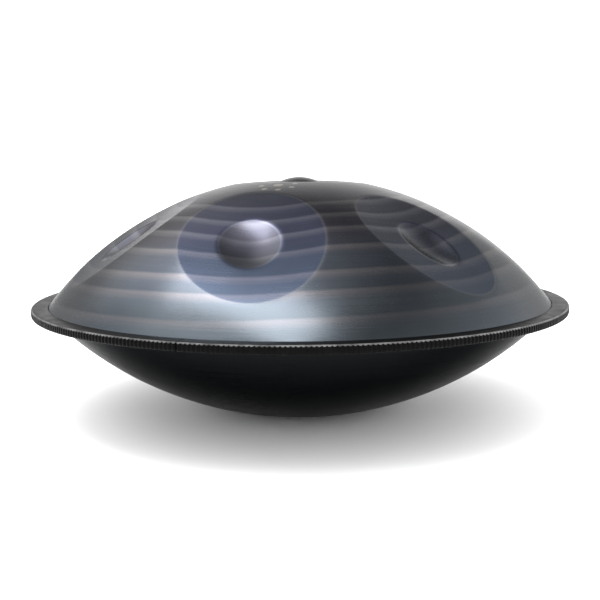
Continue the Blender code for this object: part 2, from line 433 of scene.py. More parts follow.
def settle(thing, material, sharp_degrees=40):
    """Replaces a piece's modifiers with the mesh that they make."""
    graph = bpy.context.evaluated_depsgraph_get()
    made = bpy.data.meshes.new_from_object(thing.evaluated_get(graph))
    thing.modifiers.clear()
    thing.data = made
    made.name = thing.name
    made.materials.clear()
    made.materials.append(material)
    made.shade_smooth()
    made.set_sharp_from_angle(angle=math.radians(sharp_degrees))


def set_input(modifier, name, value):
    """Sets a Geometry Nodes modifier's input by its socket's identifier."""
    for item in modifier.node_group.interface.items_tree:
        if item.item_type == "SOCKET" and item.in_out == "INPUT" and item.name == name:
            modifier[item.identifier] = value
            return
    raise ValueError(f"the tree has no input named {name}")


def new_tree(name, inputs, outputs=(("Geometry", "NodeSocketGeometry"),)):
    """A Geometry Nodes tree with named inputs, its maker and its two end nodes."""
    tree = bpy.data.node_groups.new(name, "GeometryNodeTree")
    for label, kind in inputs:
        tree.interface.new_socket(label, in_out="INPUT", socket_type=kind)
    for label, kind in outputs:
        tree.interface.new_socket(label, in_out="OUTPUT", socket_type=kind)
    maker = NodeMaker(tree)
    return tree, maker, maker.add("NodeGroupInput"), maker.add("NodeGroupOutput")


# The upper bowl: a turned sheet, then its notes


def soft_cap(maker, distance_squared, softness):
    """1 in the middle of an oval, 0 outside it, with a rounded border."""
    inside = maker.math("SUBTRACT", 1.0, distance_squared)
    squares = maker.math(
        "ADD", maker.math("MULTIPLY", inside, inside), maker.math("MULTIPLY", softness, softness)
    )
    return maker.math("MULTIPLY", maker.math("ADD", inside, maker.math("SQRT", squares)), 0.5)


def oval_tree():
    """The rule for one oval pressed into a sphere: how much of its depth a point gets, from 0 to 1."""
    floats = ("Half Length", "Half Width", "Sphere Radius", "Softness")
    vectors = ("Outward", "Middle", "Length Way", "Width Way")
    inputs = [(name, "NodeSocketVector") for name in vectors]
    inputs += [(name, "NodeSocketFloat") for name in floats]
    tree, maker, given, result = new_tree("pressed_oval", inputs, [("Cap", "NodeSocketFloat")])
    outward, middle = given.outputs["Outward"], given.outputs["Middle"]
    cosine = maker.vector("DOT_PRODUCT", outward, middle)
    bounded = maker.math("MINIMUM", maker.math("MAXIMUM", cosine, -1.0), 1.0)
    angle = maker.math("ARCCOSINE", bounded)
    flat = maker.vector("SUBTRACT", outward, maker.stretch(middle, cosine))
    length = maker.math("MAXIMUM", maker.vector("LENGTH", flat), 1e-6)
    reach = maker.math("MULTIPLY", angle, given.outputs["Sphere Radius"])
    scaled = maker.stretch(flat, maker.math("DIVIDE", reach, length))
    total = None
    for way, half in (("Length Way", "Half Length"), ("Width Way", "Half Width")):
        share = maker.vector("DOT_PRODUCT", scaled, given.outputs[way])
        share = maker.math("DIVIDE", share, given.outputs[half])
        square = maker.math("MULTIPLY", share, share)
        total = square if total is None else maker.math("ADD", total, square)
    maker.feed(result.inputs["Cap"], soft_cap(maker, total, given.outputs["Softness"]))
    return tree


def oval_ways(distance, azimuth, twist, sphere_radius):
    """Unit vectors from the sphere's centre to an oval's middle, and along its length and width."""
    polar = math.asin(distance / sphere_radius)
    turn = math.radians(azimuth)
    middle = Vector(
        (math.sin(polar) * math.sin(turn), -math.sin(polar) * math.cos(turn), math.cos(polar))
    )
    downhill = Vector(
        (math.cos(polar) * math.sin(turn), -math.cos(polar) * math.cos(turn), -math.sin(polar))
    )
    spin = Matrix.Rotation(math.radians(twist), 3, middle)
    return middle, spin @ downhill, spin @ middle.cross(downhill)


def add_oval(maker, oval, outward, sphere_radius, place, sizes, softness):
    """Adds the oval tree for one note or dimple, and returns its share of its depth."""
    distance, azimuth, twist = place
    middle, length_way, width_way = oval_ways(distance, azimuth, twist, sphere_radius)
    node = maker.add("GeometryNodeGroup", node_tree=oval)
    values = {
        "Outward": outward,
        "Middle": middle,
        "Length Way": length_way,
        "Width Way": width_way,
        "Half Length": sizes[0],
        "Half Width": sizes[1],
        "Sphere Radius": sphere_radius,
        "Softness": softness,
    }
    for name, value in values.items():
        maker.feed(node.inputs[name], value)
    return node.outputs["Cap"]


def hammer_tree(settings):
    """Geometry Nodes that press the notes, their dimples and the centre note into the dome."""
    floats = (
        "Note Depth", "Note Border", "Dimple Depth", "Dimple Border",
        "Centre Depth", "Centre Half Length", "Centre Half Width", "Knob Radius", "Knob Height",
        "Sphere Height", "Unevenness",
    )
    inputs = [("Geometry", "NodeSocketGeometry"), ("Material", "NodeSocketMaterial")]
    inputs += [(name, "NodeSocketFloat") for name in floats]
    tree, maker, given, result = new_tree("hammered_notes", inputs)
    value = given.outputs
    oval = oval_tree()
    place = maker.add("GeometryNodeInputPosition").outputs[0]
    centre = maker.add("ShaderNodeCombineXYZ", {"Z": value["Sphere Height"]}).outputs[0]
    outward = maker.vector("NORMALIZE", maker.vector("SUBTRACT", place, centre))

    notes, dimples = 0.0, 0.0
    for distance, azimuth, half_length, half_width, twist in RING_NOTES:
        note = add_oval(
            maker, oval, outward, settings.dome_radius,
            (distance, azimuth, twist), (half_length, half_width), value["Note Border"],
        )
        dimple = add_oval(
            maker, oval, outward, settings.dome_radius,
            (distance + settings.dimple_shift, azimuth, twist),
            (half_length * settings.dimple_share, half_width * settings.dimple_share),
            value["Dimple Border"],
        )
        notes = maker.math("ADD", notes, note)
        dimples = maker.math("ADD", dimples, dimple)

    apart = maker.add("ShaderNodeSeparateXYZ", {0: place}).outputs
    x_share = maker.math("DIVIDE", apart["X"], value["Centre Half Length"])
    y_share = maker.math("DIVIDE", apart["Y"], value["Centre Half Width"])
    oval_squared = maker.math(
        "ADD", maker.math("MULTIPLY", x_share, x_share), maker.math("MULTIPLY", y_share, y_share)
    )
    ring = maker.vector("LENGTH", maker.vector("MULTIPLY", place, (1.0, 1.0, 0.0)))
    knob_share = maker.math("DIVIDE", ring, value["Knob Radius"])
    knob_squared = maker.math("MULTIPLY", knob_share, knob_share)
    knob = maker.math(
        "MULTIPLY", soft_cap(maker, knob_squared, value["Dimple Border"]), value["Knob Height"]
    )
    flat = maker.math(
        "MULTIPLY", soft_cap(maker, oval_squared, value["Note Border"]), value["Centre Depth"]
    )

    waves = maker.add(
        "ShaderNodeTexNoise", {"Vector": place, "Scale": 26.0, "Detail": 1.0, "Roughness": 0.4}
    ).outputs[0]
    uneven = maker.math("MULTIPLY", maker.math("SUBTRACT", waves, 0.5), value["Unevenness"])
    height = maker.math("SUBTRACT", knob, flat)
    height = maker.math("ADD", height, maker.math("MULTIPLY", uneven, 2.0))
    pressed = maker.math(
        "ADD",
        maker.math("MULTIPLY", notes, value["Note Depth"]),
        maker.math("MULTIPLY", dimples, value["Dimple Depth"]),
    )
    height = maker.math("SUBTRACT", height, pressed)
    on_dome = maker.math("LESS_THAN", ring, FLANGE_RADIUS - HAMMER_MARGIN)
    moved = maker.add(
        "GeometryNodeSetPosition",
        {
            "Geometry": value["Geometry"],
            "Offset": maker.stretch(outward, maker.math("MULTIPLY", height, on_dome)),
        },
    ).outputs[0]
    for label, share in (("note_share", notes), ("dimple_share", dimples)):
        moved = maker.add(
            "GeometryNodeStoreNamedAttribute",
            {"Geometry": moved, "Name": label, "Value": share},
            data_type="FLOAT",
            domain="POINT",
        ).outputs[0]
    realized = maker.add("GeometryNodeRealizeInstances", {0: moved}).outputs[0]
    painted = maker.add(
        "GeometryNodeSetMaterial", {"Geometry": realized, "Material": value["Material"]}
    ).outputs[0]
    maker.feed(result.inputs[0], painted)
    return tree


def dome_profile(settings, steps, inset):
    """The upper bowl's face before it is hammered, as (r, z) from its top to its flange."""
    sphere_z = RIM_Z - settings.dome_drop
    corner = wall_to_flange(settings.dome_radius, sphere_z, 1, settings, inset)
    radius = settings.dome_radius - inset
    edge = math.asin(corner[0][0] / radius)
    wall = arc((0.0, sphere_z), radius, math.pi / 2, math.pi / 2 - edge, steps)
    return wall[:-1] + corner


def hammered_sheet(name, settings, hammer, steel, fineness, inset):
    """One face of the upper bowl, turned and then pressed by the hammer tree."""
    steps, segments = fineness
    face = spin_sheet(name, dome_profile(settings, steps, inset), segments, (0, 0, RIM_Z))
    pressed = face.modifiers.new("hammer", "NODES")
    pressed.node_group = hammer
    values = {
        "Material": steel,
        "Note Depth": settings.note_depth,
        "Note Border": settings.note_border,
        "Dimple Depth": settings.dimple_depth,
        "Dimple Border": settings.dimple_border,
        "Centre Depth": settings.centre_depth,
        "Centre Half Length": settings.centre_length,
        "Centre Half Width": settings.centre_width,
        "Knob Radius": settings.dome_base,
        "Knob Height": settings.dome_height,
        "Sphere Height": RIM_Z - settings.dome_drop,
        "Unevenness": settings.unevenness,
    }
    for label, value in values.items():
        set_input(pressed, label, value)
    graph = bpy.context.evaluated_depsgraph_get()
    mesh = bpy.data.meshes.new_from_object(face.evaluated_get(graph))
    bpy.data.objects.remove(face)
    return mesh


def rim_loop(builder, height):
    """The points of the open edge at one height, in order round the axis."""
    points = [v for v in builder.verts if v.is_boundary and abs(v.co.z - height) < 1e-5]
    return sorted(points, key=lambda v: (math.atan2(v.co.y, v.co.x) + 1e-4) % (2 * math.pi))


def join_faces(outer, inner, flange_z, sheet):
    """Closes a fine outer face and a coarser inner one along the flange's edge."""
    builder = bmesh.new()
    builder.from_mesh(outer)
    builder.from_mesh(inner)
    outside = rim_loop(builder, flange_z)
    inside = rim_loop(builder, flange_z - sheet)
    ratio = len(outside) // len(inside)
    for i in range(len(inside)):
        strip = [outside[(i * ratio + j) % len(outside)] for j in range(ratio + 1)]
        builder.faces.new(strip + [inside[(i + 1) % len(inside)], inside[i]])
    bmesh.ops.recalc_face_normals(builder, faces=builder.faces)
    builder.to_mesh(outer)
    builder.free()
    return outer


def make_upper_bowl(settings):
    hammer, steel = hammer_tree(settings), heat_blued_steel(settings)
    outer = hammered_sheet("upper_bowl", settings, hammer, steel, OUTER_FACE, 0.0)
    inner = hammered_sheet(
        "upper_bowl_inside", settings, hammer, steel, INNER_FACE, settings.sheet
    )
    flange_z = RIM_Z + BOND_HALF + settings.sheet
    shell = link_object("upper_bowl", join_faces(outer, inner, flange_z, settings.sheet))
    settle(shell, steel)
    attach(shell, "root")
    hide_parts("top_shell")


# The lower bowl


def bowl_profile(settings, steps):
    """The lower bowl's outer face as (r, z), from the port's neck down and out to its flange."""
    sphere_z = RIM_Z + settings.bowl_rise
    corner = wall_to_flange(settings.bowl_radius, sphere_z, -1, settings)
    standing_edge = math.sqrt(settings.bowl_radius**2 - sphere_z**2)
    low = math.asin(standing_edge / settings.bowl_radius) - math.pi / 2
    high = math.asin(corner[0][0] / settings.bowl_radius) - math.pi / 2
    wall = arc((0.0, sphere_z), settings.bowl_radius, low, high, steps)
    mouth = (settings.port_radius + settings.neck_corner, settings.neck_corner)
    neck = arc(mouth, settings.neck_corner, math.pi, 1.5 * math.pi, NECK_STEPS)
    top = [(settings.port_radius, settings.neck_height)]
    return top + neck + wall[:-1] + corner


def make_lower_bowl(settings):
    steps, segments = LOWER_BOWL
    shell = spin_sheet("lower_bowl", bowl_profile(settings, steps), segments, (0, 0, RIM_Z))
    thicken(shell, settings.sheet)
    settle(shell, shade_darkened_steel(settings))
    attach(shell, "root")
    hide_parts("bottom_shell")


# The edge trim: one rib's slice of rubber, repeated round the rim


def trim_outline(settings):
    """The rubber's section as a closed (r, z) loop, with the share of rib depth each point takes."""
    slot_half = BOND_HALF + SHEET + CLEARANCE
    lip, top = settings.lip_radius, TRIM_HALF_HEIGHT
    turn_centre = (TRIM_RADIUS - settings.corner, top - settings.corner)
    turn = arc(turn_centre, settings.corner, math.pi / 2, 0.0, CORNER_STEPS)
    lip_centre = (lip + LIP_ROUNDING, top - LIP_ROUNDING)
    lip_turn = arc(lip_centre, LIP_ROUNDING, math.pi * 0.86, math.pi / 2, 3)
    # the grooves start part of the way round the outer corner and reach their depth near its end
    shares = [max(0.0, min(1.0, (i - 2) / 3)) for i in range(len(turn))]
    upper = [(FLANGE_RADIUS + CLEARANCE, slot_half, 0.0), (lip + settings.lip_slant, slot_half, 0.0)]
    upper += [(r, z, 0.0) for r, z in lip_turn]
    upper += [(lip + along, top, 0.0) for along in LIP_POINTS]
    upper += [(r, z, share) for (r, z), share in zip(turn, shares)]
    upper += [(TRIM_RADIUS, FACE_POINT, 1.0)]
    lower = [(r, -z, share) for r, z, share in reversed(upper)]
    return [(r, RIM_Z + z, share) for r, z, share in upper + lower]


def rib_slice(settings, width):
    """One rib and half the groove on either side, as an open slice of the rubber."""
    outline = trim_outline(settings)
    builder = bmesh.new()
    other_half = [(-at, sunk) for at, sunk in reversed(HALF_RIB[1:])]
    columns = []
    for at, sunk in (*other_half, *HALF_RIB):
        angle = at * width
        column = []
        for r, z, share in outline:
            radius = r - settings.rib_depth * sunk * share
            column.append(builder.verts.new((radius * math.sin(angle), -radius * math.cos(angle), z)))
        columns.append(column)
    count = len(outline)
    for here, there in zip(columns, columns[1:]):
        for i in range(count):
            j = (i + 1) % count
            builder.faces.new((here[i], here[j], there[j], there[i]))
    mesh = bpy.data.meshes.new("rib_slice")
    builder.to_mesh(mesh)
    builder.free()
    return link_object("rib_slice", mesh)


def ring_tree():
    """Geometry Nodes that repeat a slice round the Z axis and join the copies where they meet."""
    inputs = [
        ("Geometry", "NodeSocketGeometry"),
        ("Count", "NodeSocketInt"),
        ("First Angle", "NodeSocketFloat"),
        ("Step", "NodeSocketFloat"),
        ("Merge Distance", "NodeSocketFloat"),
        ("Material", "NodeSocketMaterial"),
    ]
    tree, maker, given, result = new_tree("rib_ring", inputs)
    value = given.outputs
    points = maker.add("GeometryNodeMeshLine", {"Count": value["Count"], "Offset": (0.0, 0.0, 0.0)})
    index = maker.add("GeometryNodeInputIndex").outputs[0]
    angle = maker.math("ADD", maker.math("MULTIPLY", index, value["Step"]), value["First Angle"])
    turned = maker.add("ShaderNodeCombineXYZ", {"Z": angle}).outputs[0]
    copies = maker.add(
        "GeometryNodeInstanceOnPoints",
        {"Points": points.outputs[0], "Instance": value["Geometry"], "Rotation": turned},
    ).outputs[0]
    realized = maker.add("GeometryNodeRealizeInstances", {0: copies}).outputs[0]
    joined = maker.add(
        "GeometryNodeMergeByDistance", {"Geometry": realized, "Distance": value["Merge Distance"]}
    ).outputs[0]
    painted = maker.add(
        "GeometryNodeSetMaterial", {"Geometry": joined, "Material": value["Material"]}
    ).outputs[0]
    maker.feed(result.inputs[0], painted)
    return tree


def close_ends(mesh):
    """Caps the trim's two ends at its seam, and turns every face outwards."""
    builder = bmesh.new()
    builder.from_mesh(mesh)
    open_edges = [edge for edge in builder.edges if edge.is_boundary]
    bmesh.ops.holes_fill(builder, edges=open_edges, sides=0)
    bmesh.ops.recalc_face_normals(builder, faces=builder.faces)
    builder.to_mesh(mesh)
    builder.free()


def make_edge_trim(settings):
    rubber = ribbed_rubber(settings)
    count = round(2 * math.pi * TRIM_RADIUS / settings.rib_pitch)
    step = (2 * math.pi - settings.seam_gap / TRIM_RADIUS) / count
    trim = rib_slice(settings, step)
    trim.name = "rubber_edge_trim"
    ring = trim.modifiers.new("ring", "NODES")
    ring.node_group = ring_tree()
    values = {
        "Count": count,
        "First Angle": settings.seam_azimuth + settings.seam_gap / TRIM_RADIUS / 2 + step / 2,
        "Step": step,
        "Merge Distance": 1e-5,
        "Material": rubber,
    }
    for name, value in values.items():
        set_input(ring, name, value)
    settle(trim, rubber, sharp_degrees=60)
    close_ends(trim.data)
    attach(trim, "root")
    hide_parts("edge_trim")


# Materials


def new_material(name, roughness, metallic):
    """A Principled material, its maker, its shader and its Object coordinates."""
    material = bpy.data.materials.new(name)
    material.use_nodes = True
    shader = material.node_tree.nodes["Principled BSDF"]
    shader.inputs["Roughness"].default_value = roughness
    shader.inputs["Metallic"].default_value = metallic
    maker = NodeMaker(material.node_tree)
    place = maker.add("ShaderNodeTexCoord").outputs["Object"]
    return material, maker, shader, place


def noise(maker, vector, scale, detail=3.0, roughness=0.5):
    node = maker.add(
        "ShaderNodeTexNoise",
        {"Vector": vector, "Scale": scale, "Detail": detail, "Roughness": roughness},
    )
    return node.outputs[0]


def remap(maker, value, low, high, new_low, new_high):
    node = maker.add("ShaderNodeMapRange", {0: value, 1: low, 2: high, 3: new_low, 4: new_high})
    return node.outputs[0]


def spread(maker, cloud, low, high):
    """Stretches a noise, which mostly stays between 0.3 and 0.7, to run from low to high."""
    return remap(maker, cloud, 0.3, 0.7, low, high)


def soft_step(maker, value, low, high, strength, start=0.0):
    """start at low, strength at high, eased between them and level beyond them."""
    node = maker.add(
        "ShaderNodeMapRange",
        {0: value, 1: low, 2: high, 3: start, 4: strength},
        interpolation_type="SMOOTHSTEP",
    )
    return node.outputs[0]


def mix_colours(maker, factor, first, second, blend_type="MIX"):
    node = maker.add("ShaderNodeMix", data_type="RGBA", blend_type=blend_type)
    maker.feed(node.inputs["Factor"], factor)
    maker.feed(node.inputs[6], first)
    maker.feed(node.inputs[7], second)
    return node.outputs[2]


def colour_ramp(maker, factor, stops):
    """A colour ramp with the given (position, colour) stops."""
    node = maker.add("ShaderNodeValToRGB", {0: factor})
    elements = node.color_ramp.elements
    while len(elements) > 1:
        elements.remove(elements[-1])
    elements[0].position, elements[0].color = stops[0][0], (*stops[0][1], 1.0)
    for position, colour in stops[1:]:
        elements.new(position).color = (*colour, 1.0)
    return node.outputs[0]


def add_bump(maker, shader, height, strength, distance):
    bump = maker.add(
        "ShaderNodeBump", {"Strength": strength, "Distance": distance, "Height": height}
    )
    maker.feed(shader.inputs["Normal"], bump.outputs[0])


def blend(first, second, share):
    return tuple(a + (b - a) * share for a, b in zip(first, second))


def outward_from(maker, place, centre_z):
    """The direction from a bowl's sphere centre to each point."""
    return maker.vector("NORMALIZE", maker.vector("SUBTRACT", place, (0.0, 0.0, centre_z)))


def turned_marks(maker, outward, along, detail, roughness):
    """Noise that runs long round the axis and short down the wall, as marks of turning do."""
    around = 1.5
    level = maker.vector("MULTIPLY", outward, (around, around, 0.0))
    height = maker.add("ShaderNodeSeparateXYZ", {0: outward}).outputs["Z"]
    polar = maker.math("ARCCOSINE", maker.math("MINIMUM", height, 1.0))
    rise = maker.add("ShaderNodeCombineXYZ", {"Z": maker.math("MULTIPLY", polar, along)})
    return noise(maker, maker.vector("ADD", level, rise.outputs[0]), 1.0, detail, roughness)


def finish_steel(maker, shader, marks, clouds, roughness, bump):
    """Gives a steel sheet its uneven gloss and its faint turned marks."""
    gloss = maker.math(
        "ADD", spread(maker, marks, *roughness), spread(maker, clouds, -0.02, 0.03)
    )
    maker.feed(shader.inputs["Roughness"], gloss)
    add_bump(maker, shader, marks, bump, 0.0002)


def heat_stops(settings):
    """Ramp stops down the dome: each pale ring starts abruptly and fades into the colour below it."""
    grey, violet, blue = tuple(settings.grey), tuple(settings.violet), tuple(settings.blue)
    straw, low = tuple(settings.straw), tuple(settings.low_grey)
    places = (
        (0.0, grey),
        (0.085, grey),
        (0.115, violet),
        (0.175, violet),
        (0.21, blue),
        (0.24, blue),
        (0.265, low),
        (1.0, low),
    )

    def base(reach):
        for (start, first), (end, second) in zip(places, places[1:]):
            if reach <= end:
                return blend(first, second, (reach - start) / (end - start))
        return low

    stops = [(0.0, grey)]
    for reach, paleness in HEAT_RINGS:
        stops.append((reach + RING_EDGE, blend(base(reach), (0, 0, 0), 0.12)))
        for offset in RING_PALEST:
            stops.append((reach + offset, blend(base(reach), straw, paleness)))
        stops.append((reach + RING_FADED, base(reach + RING_FADED)))
    return [(reach / HEAT_SPAN, colour) for reach, colour in stops]


def heat_colour(maker, place, outward, settings):
    """The colours that the heat left down the dome."""
    axis = Vector(HEAT_AXIS).normalized()
    cosine = maker.math("MINIMUM", maker.vector("DOT_PRODUCT", outward, axis), 1.0)
    reach = maker.math("MULTIPLY", maker.math("ARCCOSINE", cosine), settings.dome_radius)
    wander = maker.math("SUBTRACT", noise(maker, place, 9.0, 2.0), 0.5)
    reach = maker.math("ADD", reach, maker.math("MULTIPLY", wander, HEAT_WANDER))
    return colour_ramp(maker, maker.math("DIVIDE", reach, HEAT_SPAN), heat_stops(settings))


def note_colour(maker, heat, settings):
    """Deeper colour inside the notes, dimples paled as a painted highlight, and a painted highlight line
    just inside both borders.
    """
    note = maker.add("ShaderNodeAttribute", attribute_name="note_share").outputs["Fac"]
    dimple = maker.add("ShaderNodeAttribute", attribute_name="dimple_share").outputs["Fac"]
    deeper = mix_colours(maker, 1.0, heat, (*settings.note_tint, 1.0), "MULTIPLY")
    heat = mix_colours(maker, soft_step(maker, note, 0.01, 0.08, 1.0), heat, deeper)
    # painted highlight: paler colour in the dimples brightens their reflections
    pressed = soft_step(maker, dimple, 0.02, 0.25, 0.34)
    heat = mix_colours(maker, pressed, heat, (*settings.dimple_highlight_steel, 1.0))
    # painted highlight: a pale line just inside each border stands in for the glint on its crease
    for share, low, high in ((note, 0.002, 0.040), (dimple, 0.010, 0.100)):
        rise = soft_step(maker, share, low, high, 0.18)
        fall = soft_step(maker, share, high * 2, high, 1.0)
        line = maker.math("MULTIPLY", rise, fall)
        heat = mix_colours(maker, line, heat, (*settings.painted_border_highlight, 1.0))
    return heat


def mark_pattern(maker, place):
    """1 inside the etched mark's dots, seen from above, 0 outside."""
    flat = maker.vector("MULTIPLY", place, (1.0, 1.0, 0.0))
    x, y = MARK_PLACE
    dots = [(x, y, MARK_DOT * MARK_MIDDLE)]
    for i in range(len(RING_NOTES)):
        turn = 2 * math.pi * i / len(RING_NOTES)
        dots.append((x + MARK_RING * math.sin(turn), y - MARK_RING * math.cos(turn), MARK_DOT))
    total = 0.0
    for dot_x, dot_y, radius in dots:
        distance = maker.vector("DISTANCE", flat, (dot_x, dot_y, 0.0))
        dot = soft_step(maker, distance, radius + MARK_EDGE, radius - MARK_EDGE, 1.0)
        total = maker.math("MAXIMUM", total, dot)
    return total


def heat_blued_steel(settings):
    """Upper bowl: nitrided steel, turned, with pale and blue rings where the heat stopped."""
    material, maker, shader, place = new_material("heat_blued_steel", 0.3, 1.0)
    shader.inputs["Specular Tint"].default_value = (0.55, 0.55, 0.55, 1.0)
    outward = outward_from(maker, place, RIM_Z - settings.dome_drop)
    heat = note_colour(maker, heat_colour(maker, place, outward, settings), settings)
    # thin oxide films lose their colour at a shallow angle
    facing = maker.add("ShaderNodeLayerWeight", {"Blend": 0.5}).outputs["Facing"]
    saturation = soft_step(maker, facing, 0.68, 0.42, 1.1, 0.42)
    heat = maker.add("ShaderNodeHueSaturation", {"Saturation": saturation, "Color": heat}).outputs[0]

    marks = turned_marks(maker, outward, 200.0, 2.0, 0.5)
    clouds = noise(maker, place, 14.0, 3.0, 0.6)
    shade = maker.math("ADD", spread(maker, marks, 0.97, 1.03), spread(maker, clouds, -0.06, 0.06))
    grey = maker.add("ShaderNodeCombineColor", {0: shade, 1: shade, 2: shade}).outputs[0]
    shaded = mix_colours(maker, 1.0, heat, grey, "MULTIPLY")
    marked = mix_colours(maker, mark_pattern(maker, place), shaded, (*settings.etching, 1.0))
    maker.feed(shader.inputs["Base Color"], marked)
    finish_steel(maker, shader, marks, clouds, (0.25, 0.275), 0.006)
    return material


def shade_darkened_steel(settings):
    """Lower bowl: the same steel with faint turned marks, its colour darkened to near black as painted
    shade for the underside.
    """
    material, maker, shader, place = new_material("nitrided_steel_painted_shade", 0.35, 1.0)
    shader.inputs["Specular Tint"].default_value = (0.42, 0.42, 0.42, 1.0)
    outward = outward_from(maker, place, RIM_Z + settings.bowl_rise)
    marks = turned_marks(maker, outward, 260.0, 4.0, 0.6)
    clouds = noise(maker, place, 11.0, 4.0, 0.6)
    low, high = blend(settings.dark, (0, 0, 0), 0.15), blend(settings.dark, (1, 1, 1), 0.003)
    colour = mix_colours(maker, spread(maker, marks, 0.0, 1.0), (*low, 1.0), (*high, 1.0))
    maker.feed(shader.inputs["Base Color"], colour)
    finish_steel(maker, shader, marks, clouds, (0.27, 0.31), 0.02)
    return material


def painted_edge_highlight(maker, place, settings):
    """1 along a thin line on the trim's upper outer corner, where a highlight is painted, 0 away from
    it.
    """
    height = maker.add("ShaderNodeSeparateXYZ", {0: place}).outputs["Z"]
    ring = maker.vector("LENGTH", maker.vector("MULTIPLY", place, (1.0, 1.0, 0.0)))
    slope = maker.math("ADD", maker.math("SUBTRACT", height, RIM_Z), ring)
    line = TRIM_RADIUS + TRIM_HALF_HEIGHT - settings.corner + 0.0009
    away = maker.math("ABSOLUTE", maker.math("SUBTRACT", slope, line))
    return remap(maker, away, 0.0001, 0.00045, 1.0, 0.0)


def ribbed_rubber(settings):
    """Edge trim: black rubber, matt, a little dusty in its grooves, with a highlight painted as a greyer
    line along its upper outer corner.
    """
    material, maker, shader, place = new_material("ribbed_rubber", 0.55, 0.0)
    shader.inputs["Specular IOR Level"].default_value = 0.045
    dust = noise(maker, place, 60.0, 4.0, 0.65)
    base = tuple(settings.rubber)
    dusty = blend(base, (0.10, 0.10, 0.098), 0.02)
    amount = remap(maker, dust, 0.45, 0.75, 0.0, 1.0)
    colour = mix_colours(maker, amount, (*base, 1.0), (*dusty, 1.0))
    # painted highlight: a greyer line along the upper outer corner, broken into dots by the dust noise,
    # stands in for the glint there
    rubbed = maker.math(
        "MULTIPLY", painted_edge_highlight(maker, place, settings), remap(maker, dust, 0.35, 0.6, 0.4, 1.0)
    )
    colour = mix_colours(maker, rubbed, colour, (0.13, 0.13, 0.13, 1.0))
    maker.feed(shader.inputs["Base Color"], colour)
    maker.feed(shader.inputs["Roughness"], spread(maker, dust, 0.34, 0.46))
    add_bump(maker, shader, noise(maker, place, 900.0, 3.0, 0.6), 0.3, 0.0001)
    return material


def cured_adhesive():
    """Adhesive ring: pale grey epoxy, cloudy and half matt."""
    material, maker, shader, place = new_material("cured_adhesive", 0.5, 0.0)
    cloud = noise(maker, place, 120.0, 4.0, 0.6)
    colour = mix_colours(maker, cloud, (0.22, 0.22, 0.205, 1.0), (0.36, 0.355, 0.33, 1.0))
    maker.feed(shader.inputs["Base Color"], colour)
    maker.feed(shader.inputs["Roughness"], spread(maker, cloud, 0.42, 0.6))
    return material


def zinc_strip():
    """The trim's core: zinc-plated strip with its spangle."""
    material, maker, shader, place = new_material("zinc_strip", 0.4, 1.0)
    spangle = noise(maker, place, 320.0, 2.0, 0.5)
    colour = mix_colours(maker, spangle, (0.36, 0.37, 0.38, 1.0), (0.55, 0.56, 0.57, 1.0))
    maker.feed(shader.inputs["Base Color"], colour)
    maker.feed(shader.inputs["Roughness"], spread(maker, spangle, 0.33, 0.5))
    return material


def repaint(node, material):
    """Gives a carried-over node a better material."""
    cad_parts[node].material_slots[0].material = material


# The stage


def paper_white(settings):
    material, maker, shader, place = new_material("paper_floor", 0.85, 0.0)
    fibre = noise(maker, place, 300.0, 3.0)
    low = blend(settings.floor, (0, 0, 0), 0.01)
    colour = mix_colours(maker, fibre, (*low, 1.0), (*settings.floor, 1.0))
    maker.feed(shader.inputs["Base Color"], colour)
    shader.inputs["Specular IOR Level"].default_value = 0.1
    return material


def make_floor(settings):
    builder = bmesh.new()
    bmesh.ops.create_circle(builder, cap_ends=True, segments=96, radius=FLOOR_REACH)
    mesh = bpy.data.meshes.new("paper_floor")
    builder.to_mesh(mesh)
    builder.free()
    mesh.materials.append(paper_white(settings))
    link_object("paper_floor", mesh)


def add_light(name, kind, place, target, power):
    lamp = bpy.data.lights.new(name, kind)
    lamp.energy = power
    thing = bpy.data.objects.new(name, lamp)
    thing.location = place
    thing.rotation_mode = "QUATERNION"
    thing.rotation_quaternion = (Vector(target) - Vector(place)).to_track_quat("-Z", "Y")
    bpy.context.scene.collection.objects.link(thing)
    return thing


def lay_along(aim, length_way):
    """The turn that points a light along aim, with its long side along length_way."""
    back = -aim.normalized()
    side = length_way.cross(back).normalized()
    return Matrix((side, back.cross(side), back)).transposed().to_quaternion()


def make_camera(settings):
    target = Vector((0.0, 0.0, RIM_Z + CAMERA_AIM))
    away = Vector((0.0, -math.cos(settings.elevation), math.sin(settings.elevation)))
    place = Vector((0.0, 0.0, RIM_Z)) + away * settings.distance
    data = bpy.data.cameras.new("camera")
    data.lens = settings.lens
    data.sensor_width = 36.0
    camera = bpy.data.objects.new("camera", data)
    camera.location = place
    camera.rotation_mode = "QUATERNION"
    aim = (target - place).to_track_quat("-Z", "Y")
    camera.rotation_quaternion = aim @ Quaternion((0, 0, 1), settings.roll)
    bpy.context.scene.collection.objects.link(camera)
    bpy.context.scene.camera = camera


def glow_towards(maker, way, direction, degrees, strength):
    """A round glow on the studio's walls, fading out this many degrees from its middle."""
    cosine = maker.vector("DOT_PRODUCT", way, Vector(direction).normalized())
    return soft_step(maker, cosine, math.cos(math.radians(degrees)), 0.995, strength)


def masked(maker, glow, *masks):
    """A glow kept only where every mask is open."""
    for mask in masks:
        glow = maker.math("MULTIPLY", glow, mask)
    return glow


